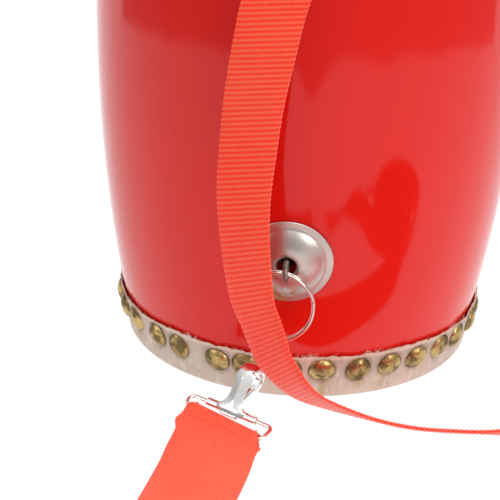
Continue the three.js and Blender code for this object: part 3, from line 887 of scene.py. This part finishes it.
def makePin(end):
    apart = pin["wire"] / 2 + 0.2
    bent = -pin["washer"] - pin["washerThick"] - 0.6 - pin["wire"] / 2
    leg = [(12, bent), (8, bent), (4.5, bent), (2.6, bent + 0.35), (1.6, bent + 1.3), (apart, bent + 2.6),
           (apart, -4), (apart, 0), (apart, 3)]
    eye = []
    for degrees in (140, 105, 70, 35, 0, -35, -70, -105, -140):
        a = math.radians(degrees)
        eye.append((pin["eye"] * math.sin(a), pin["reach"] + pin["eye"] * math.cos(a)))
    whole = leg + eye + [(-u, o) for u, o in reversed(leg)]
    path = [at(0, u, o) for u, o in splinePoints(whole, 8)]
    shape = Shape().tube(path, pin["wire"] / 2 * mm, 14, place=fittingFrame(end))
    return addPiece(f"{end}_split_pin", shape, steelFinish, "drum", 60, (f"{end}_pin",))


ring = {"radius": 15.1, "wire": 1.5, "pitch": 1.55, "drop": 1, "swing": 13, "lean": 6.5}


def makeRing(end):
    eye = fittingFrame(end) @ at(0, 0, pin["reach"])
    hang = Matrix.Translation(eye - at(0, 0, ring["drop"]))
    if end == "lower":
        hang = hang @ Matrix.Rotation(math.radians(ring["swing"]), 4, "Y")
    else:
        hang = hang @ Matrix.Rotation(math.radians(-ring["lean"]), 4, "X")
    path = []
    gap, start, steps = 40, 62, 260
    sweep = 720 - gap
    for i in range(steps + 1):
        t = sweep * i / steps
        across = min(max((t - (360 - gap)) / gap, 0), 1)
        across = across * across * (3 - 2 * across)
        a = math.radians(start + t)
        path.append(at(ring["radius"] * math.cos(a), ring["pitch"] * (0.5 - across),
                       ring["radius"] * math.sin(a) - ring["radius"]))
    blunt = lambda t: 0.72 if t < 0.004 or t > 0.996 else 1
    shape = Shape().tube(path, ring["wire"] / 2 * mm, 14, place=hang, taper=blunt)
    return addPiece(f"{end}_split_ring", shape, wireFinish, f"{end}_ring_body", 60,
                    (f"{end}_ring",))


makeShell()
for end in ("lower", "upper"):
    makeHead(end)
    makeFibres(end)
    makeTacks(end)
    makePlate(end)
    makePin(end)
    makeRing(end)
    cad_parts[f"{end}_washer"].data.materials.clear()
    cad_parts[f"{end}_washer"].data.materials.append(steelFinish)
print("shell, heads, tacks and fittings are made")

# snap hooks: X along the bar, Y up the neck, Z the smooth back
hook = {
    # along, out, width, how strongly the back is ridged
    "line": [(-1.4, 1.25, 14.2, 0.1), (0.4, 1.75, 14.9, 0.2), (1.6, 1.75, 12.6, 0.4), (2.9, 1.7, 9.9, 0.7),
             (4.6, 1.75, 8.0, 0.95), (7, 1.85, 7.1, 1.0), (11, 1.95, 7.2, 1.0), (15, 1.75, 8.4, 0.8),
             (18, 0.7, 9.2, 0.35), (20.2, -1.4, 9, 0.05), (21.1, -4.4, 7.6, 0), (19.8, -7.4, 6, 0),
             (16.2, -9.2, 5.2, 0), (11.4, -8.8, 4.4, 0)],
    "thick": 2.1, "sleeve": 25, "sleeveOut": 1.9, "sleeveIn": 1.15, "lip": (8.6, 2.7, 1.6),
}
gate = {"line": [(3.2, -0.5), (4.0, -0.62), (4.8, -0.95), (6, -1.9), (8.9, -4.3), (11.8, -6.65)],
        "width": 3.8, "thick": 0.42}
loop = {"wire": 1.8, "corner": 2.4}


def frameFrom(origin, across, upward):
    x = Vector(across).normalized()
    y = Vector(upward)
    y = (y - x * x.dot(y)).normalized()
    turn = Matrix((x, y, x.cross(y))).transposed().to_4x4()
    return Matrix.Translation(Vector(origin)) @ turn


def hookPlaces():
    lean = math.radians(-ring["lean"])
    foot = Matrix.Rotation(lean, 3, "X") @ Vector((0, 0, -2 * ring["radius"]))
    eye = fittingFrame("upper") @ at(0, 0, pin["reach"])
    upper = eye + (foot + Vector((0, 0, -ring["drop"])) + Vector((0, -4.4, -18.3))) * mm
    lower = at(lowerBar["x"], lowerBar["y"], lowerBar["z"])
    return {
        "upper": (frameFrom(upper, (1, 0, 0), (0, 0, 1)), frameFrom(upper, (1, 0, 0), (0, 0, 1))),
        "lower": (frameFrom(lower, barLine, (0.345, 0.5, 0.79)),
                  frameFrom(lower, barLine, (0.48, 0.83, 0.27))),
    }


def makeHook(end, place):
    shape, rings = Shape(), []
    line = splinePoints(hook["line"], 9)
    for i, (v, n, width, ridge) in enumerate(line):
        before, after = nextTo(line, i)
        along = Vector((0, after[0] - before[0], after[1] - before[1])).normalized()
        outward = Vector((0, -along.z, along.y))
        half = width / 2
        slim = 0.7 if i in (0, len(line) - 1) else 1.0
        ring, count = [], 11
        for j in range(count):
            s = 1 - 2 * j / (count - 1)
            tent = 0.62 * (1 - abs(s)) + 0.02
            dome = 0.5 * math.sqrt(max(1 - s ** 4, 0)) + 0.02
            ring.append((s * slim, (tent * ridge + dome * (1 - ridge)) * slim))
        for j in range(count):
            s = 2 * j / (count - 1) - 1
            ring.append((s * 0.985 * slim, -(0.16 + 0.34 * (1 - s ** 6)) * slim))
        rings.append([place @ ((Vector((s * half, v, n)) + outward * o * hook["thick"]) * mm) for s,
                      o in ring])
    shape.skin(rings)
    # the foot of the plate is rolled into a sleeve round the loop's bar
    a, b = hook["sleeveOut"], hook["sleeveIn"]
    half = hook["sleeve"] / 2
    profile = [(a - 0.25, -half), (a, -half + 0.25), (a + 0.03, -half / 2), (a + 0.03, half / 2),
               (a, half - 0.25),
               (a - 0.25, half), (b + 0.1, half), (b, half - 0.2), (b, -half + 0.2), (b + 0.1, -half)]
    shape.turned(profile, 40, place @ Matrix.Rotation(math.pi / 2, 4, "Y"), lambda p: p * mm, capped=False)
    x, y, z = hook["lip"]
    rings = []
    for k in range(9):
        s = 2 * k / 8 - 1
        slim = 0.72 if k in (0, 8) else 1
        ring = []
        for j in range(16):
            t = 2 * math.pi * j / 16
            c, w = math.cos(t), math.sin(t)
            ring.append(place @ (Vector((s * x / 2, -1.3 + abs(c) ** 0.5 * math.copysign(y / 2, c) * slim,
                                         1.05 + abs(w) ** 0.5 * math.copysign(z / 2, w) * slim)) * mm))
        rings.append(ring)
    shape.skin(rings)
    body = "lower_hook_body" if end == "lower" else "drum"
    return addPiece(f"{end}_snap_hook", shape, chromeFinish, body, 32, (f"{end}_hook",))


def makeGate(end, place):
    line = splinePoints(gate["line"], 5)
    rings = []
    for i, (y, z) in enumerate(line):
        before, after = nextTo(line, i)
        along = Vector((0, after[0] - before[0], after[1] - before[1])).normalized()
        outward = Vector((0, -along.z, along.y))
        narrow = 1 - 0.12 * (i / (len(line) - 1)) ** 2
        section = [(-1, -0.3), (-0.94, -0.5), (0.94, -0.5), (1, -0.3), (1, 0.3),
                   (0.94, 0.5), (0, 0.62), (-0.94, 0.5), (-1, 0.3)]
        rings.append([place @ ((Vector((s * gate["width"] / 2 * narrow, y,
                                        z)) + outward * o * gate["thick"]) * mm)
                      for s, o in section])
    return addPiece(f"{end}_spring_gate", Shape().skin(rings), springFinish, f"{end}_gate_body", 40,
                    (f"{end}_gate",))


def makeLoop(end, place, halfWidth, leftDepth, rightDepth):
    corner = loop["corner"]
    spots = []
    for side, depth, start in ((1, 0, 0), (-1, 0, 90), (-1, leftDepth, 180), (1, rightDepth, 270)):
        x, y = side * (halfWidth - corner), (corner - depth if depth else -corner)
        for i in range(9):
            a = math.radians(start + 11.25 * i)
            spots.append(at(x + corner * math.cos(a), y + corner * math.sin(a), 0))
    path = []
    for i, p in enumerate(spots):  # long sides get points of their own
        q = spots[(i + 1) % len(spots)]
        parts = 6 if (q - p).length > 2 * mm else 1
        path += [p.lerp(q, k / parts) for k in range(parts)]
    shape = Shape().tube(path, loop["wire"] / 2 * mm, 18, wrap=True, place=place)
    return addPiece(f"{end}_wire_loop", shape, nickelFinish, "drum", 60, (f"{end}_loop",))


chromeFinish = brightNickel("hookChrome", (0.95, 0.93, 0.91), 0.07)
springFinish = brightNickel("springSteel", (0.72, 0.70, 0.68), 0.22)
for end, (hookPlace, loopPlace) in hookPlaces().items():
    makeHook(end, hookPlace)
    makeGate(end, hookPlace)
    size = upperLoop if end == "upper" else lowerLoop
    makeLoop(end, loopPlace, size["half"], size["left"], size["right"])
print("hooks, gates and loops are made")


# stitches through the laps, buckle and coil tie
thread = {"radius": 0.2 * mm, "stitch": 2.3, "rise": 0.34 * mm, "colour": (0.95, 0.11, 0.055)}


def threadFinish():
    f = Finish("sewingThread", Roughness=0.6)
    twist = f.node("ShaderNodeTexWave", {"bands_direction": "DIAGONAL"},
                   {"Vector": f.where(), "Scale": 900.0})
    f.set(Base_Color=f.mix(twist, thread["colour"], (1.0, 0.2, 0.11)), Normal=f.bump(twist, 0.4, 0.0002))
    return f.material


def lineRuns(line):
    run = [0.0]
    for (a, _), (b, _) in zip(line, line[1:]):
        run.append(run[-1] + (b - a).length)
    return run


def sewLap(name, line, width, thick, start, rows, side):
    # a box of stitches: rows across at two distances along the strap, and two rows along
    run = lineRuns(line)
    shape = Shape()

    def spot(along, across, lift):
        i = min(range(len(run)), key=lambda k: abs(run[k] - along))
        here, wide = line[i]
        before, after = nextTo(line, i)
        forward = (after[0] - before[0]).normalized()
        face = forward.cross(wide).normalized() * side
        return here + wide * across + face * (thick / 2 + lift) + forward * (along - run[i])

    def seam(a, b):
        length = math.hypot((b[0] - a[0]), (b[1] - a[1])) / mm
        count = max(3, round(length / thread["stitch"]))
        for k in range(count):
            ends = [(k + e) / count for e in (0.1, 0.3, 0.5, 0.7, 0.9)]
            lifts = (-0.25, 0.75, 1.0, 0.75, -0.25)
            path = [spot(a[0] + (b[0] - a[0]) * t, a[1] + (b[1] - a[1]) * t, thread["rise"] * h)
                    for t, h in zip(ends, lifts)]
            shape.tube(path, thread["radius"], 7)

    edge = width / 2 - 2.4 * mm
    for r in rows:
        seam((start + r * mm, -edge), (start + r * mm, edge))
    first, last = start + rows[0] * mm, start + rows[-1] * mm
    seam((first, -edge), (last, -edge))
    seam((first, edge), (last, edge))
    return addPiece(name, shape, threadLook, "drum", 60)


buckle = {"long": 44, "short": 26, "thick": 2.3, "bar": 3.4, "corner": 4.2, "place": (39.8, -206.5, 3.3)}


def makeBuckle():
    x0, y0, z0 = buckle["place"]
    bar = buckle["bar"]
    halfX, halfY = buckle["short"] / 2 - bar / 2, buckle["long"] / 2 - bar / 2
    r = buckle["corner"] - bar / 2
    spots = []
    for sx, sy, start in ((1, 1, 0), (-1, 1, 90), (-1, -1, 180), (1, -1, 270)):
        for i in range(9):
            a = math.radians(start + 11.25 * i)
            spots.append((sx * (halfX - r) + r * math.cos(a), sy * (halfY - r) + r * math.sin(a)))
    shape, rings = Shape(), []
    full = []
    for i, p in enumerate(spots):
        q = spots[(i + 1) % len(spots)]
        parts = 8 if math.dist(p, q) > 2 else 1
        full += [(p[0] + (q[0] - p[0]) * k / parts, p[1] + (q[1] - p[1]) * k / parts) for k in range(parts)]
    section = []
    for j in range(20):  # a soft-cornered bar, wider than it is thick
        t = 2 * math.pi * j / 20
        c, s = math.cos(t), math.sin(t)
        section.append((math.copysign(abs(c) ** 0.6, c) * bar / 2,
                        math.copysign(abs(s) ** 0.6, s) * buckle["thick"] / 2))
    count = len(full)
    for i, (x, y) in enumerate(full):
        before, after = full[i - 1], full[(i + 1) % count]
        d = Vector((after[0] - before[0], after[1] - before[1])).normalized()
        rings.append([at(x0 + x + d.y * o, y0 + y - d.x * o, z0 + h) for o, h in section])
    shape.skin(rings, wrap=True)
    rings = []
    for k in range(17):
        y = (k / 16 - 0.5) * 2 * (halfY - 0.2)
        wide = 0.72 + 0.28 * (abs(k / 8 - 1)) ** 3
        rings.append([at(x0 + o * wide, y0 + y, z0 + h * 0.92) for o, h in section])
    shape.skin(rings)
    return addPiece("two_slot_buckle", shape, nickelFinish, "drum", 50, ("joining_buckle",))


tie = {"width": 9, "thick": 0.5, "angle": 216, "inside": 8.2}


def makeTie():  # a band round the windings of the coil
    a = math.radians(tie["angle"])
    out = Vector((math.cos(a), math.sin(a), 0))
    side = Vector((-out.y, out.x, 0))
    centre = at(coil["x"], coil["y"], 0)
    outer, inner = coil["outer"] + 1.75, tie["inside"]
    low, high = 0.32, 26.0
    spots = []
    for r, z, start in ((outer, high, 0), (inner, high, 90), (inner, low, 180), (outer, low, 270)):
        signR, signZ = (1 if r == outer else -1), (1 if z == high else -1)
        for i in range(5):
            t = math.radians(start + 22.5 * i)
            bend = 0.9 if z == high else 0.25
            spots.append((r - signR * bend + bend * math.cos(t), z - signZ * bend + bend * math.sin(t)))
    rings = []
    for i, (r, z) in enumerate(spots):
        before, after = spots[i - 1], spots[(i + 1) % len(spots)]
        d = Vector((after[0] - before[0], after[1] - before[1])).normalized()
        normal = (d.y, -d.x)
        ring = []
        for s, o in ((-1, 0), (-0.94, 0.5), (0, 0.55), (0.94, 0.5), (1, 0), (0.94, -0.5), (0, -0.5),
                     (-0.94, -0.5)):
            q = (r + normal[0] * o * tie["thick"], z + normal[1] * o * tie["thick"])
            ring.append(centre + (out * q[0] + Vector((0, 0, q[1])) + side * s * tie["width"] / 2) * mm)
        rings.append(ring)
    f = Finish("tieCloth", Roughness=0.85)
    nap = f.cloud(f.where(), 1400, 4)
    f.set(Base_Color=f.mix(nap, (0.02, 0.02, 0.022), (0.09, 0.088, 0.085)), Normal=f.bump(nap, 0.6, 0.0003))
    return addPiece("coil_tie", Shape().skin(rings, wrap=True), f.material, "drum", 45)


threadLook = threadFinish()
sewLap("narrow_strap_stitches", narrowLine, narrow["width"], narrow["thick"], narrowSewn, (0, 11), -1)
sewLap("wide_strap_stitches", wideLine, wide["width"], wide["thick"], wideSewn, (0, 8), 1)
makeBuckle()
makeTie()
print("stitches, buckle and tie are made")


# floor, world and lights
studio = {
    "sheet": 0.545, "floor": 3.0, "sheetGlow": 1.0, "aroundGlow": 0.24,
    "worldLow": 0.3, "worldMiddle": 0.55, "worldTop": 0.9,
    # place, aimed at, size, power, colour
    "lights": {
        "overhead": ((0.15, -0.35, 1.35), (0, -0.05, 0.1), 1.1, 5, (1.0, 0.99, 0.97)),
        "right": ((1.1, -1.0, 0.75), (0, 0, 0.15), 0.8, 9, (1.0, 0.95, 0.88)),
        "left": ((-1.2, -0.55, 0.7), (0, 0, 0.15), 0.8, 2.5, (0.95, 0.96, 1.0)),
    },
}


def sheetEdge(degrees):  # how far the white sheet reaches, by the angle from the front
    a = abs((degrees + 180) % 360 - 180)
    turn = Vector((math.cos(math.radians(degrees)), math.sin(math.radians(degrees)), 0))
    reach = studio["sheet"] + 0.03 * noise.noise(turn * 3) + 0.014 * noise.noise(turn * 12)
    reach -= 0.1 * math.exp(-((degrees - 5) / 7) ** 2)
    back = min(max((a - 105) / 12, 0), 1)
    return reach + (studio["floor"] - reach) * back


def makeFloor():
    count = 720
    inner, outer = [], []
    for i in range(count):
        degrees = 360 * i / count - 180
        a = math.radians(degrees)
        out = Vector((math.sin(a), -math.cos(a), 0))
        inner.append(out * sheetEdge(degrees) + Vector((0, 0, -0.0002)))
        outer.append(out * (studio["floor"] + 0.01) + Vector((0, 0, -0.0002)))
    sheet = [(i, (i + 1) % count, 2 * count) for i in range(count)]
    around = [(i, count + i, count + (i + 1) % count, (i + 1) % count) for i in range(count)]
    halves = (("floorSheet", sheet, studio["sheetGlow"]), ("floorAround", around, studio["aroundGlow"]))
    for name, faces, glow in halves:
        mesh = bpy.data.meshes.new(name)
        mesh.from_pydata(inner + outer + [Vector((0, 0, -0.0002))], [], faces)
        floor = bpy.data.objects.new(name, mesh)
        bpy.context.scene.collection.objects.link(floor)
        f = Finish(name, Roughness=0.9, Base_Color=(0.08, 0.08, 0.08), Specular_IOR_Level=0.0)
        f.set(Emission_Color=(1.0, 1.0, 1.0), Emission_Strength=glow)
        mesh.materials.append(f.material)


def makeWorld():
    world = bpy.data.worlds.new("studio")
    world.use_nodes = True
    bpy.context.scene.world = world
    tree = world.node_tree
    place = tree.nodes.new("ShaderNodeTexCoord")
    height = tree.nodes.new("ShaderNodeSeparateXYZ")
    ramp = tree.nodes.new("ShaderNodeValToRGB")
    tree.links.new(place.outputs["Generated"], height.inputs[0])
    tree.links.new(height.outputs["Z"], ramp.inputs[0])
    for i, (spot, key) in enumerate(((0.1, "worldLow"), (0.35, "worldMiddle"), (1.0, "worldTop"))):
        if i > 1:
            ramp.color_ramp.elements.new(spot)
        ramp.color_ramp.elements[i].position = spot
        grey = studio[key]
        ramp.color_ramp.elements[i].color = (grey, grey, grey, 1)
    tree.links.new(ramp.outputs[0], tree.nodes["Background"].inputs["Color"])
    tree.nodes["Background"].inputs["Strength"].default_value = 1.0


def makeLights():
    for name, (place, aim, size, power, colour) in studio["lights"].items():
        light = bpy.data.lights.new(name, "AREA")
        light.size, light.energy, light.color = size, power, colour
        lamp = bpy.data.objects.new(name, light)
        bpy.context.scene.collection.objects.link(lamp)
        lamp.matrix_world = (Matrix.Translation(place)
                             @ (Vector(aim) - Vector(place)).to_track_quat("-Z", "Y").to_matrix().to_4x4())


makeFloor()
makeWorld()
makeLights()
bpy.context.scene.view_settings.view_transform = "Standard"
print("floor, world and lights are set")
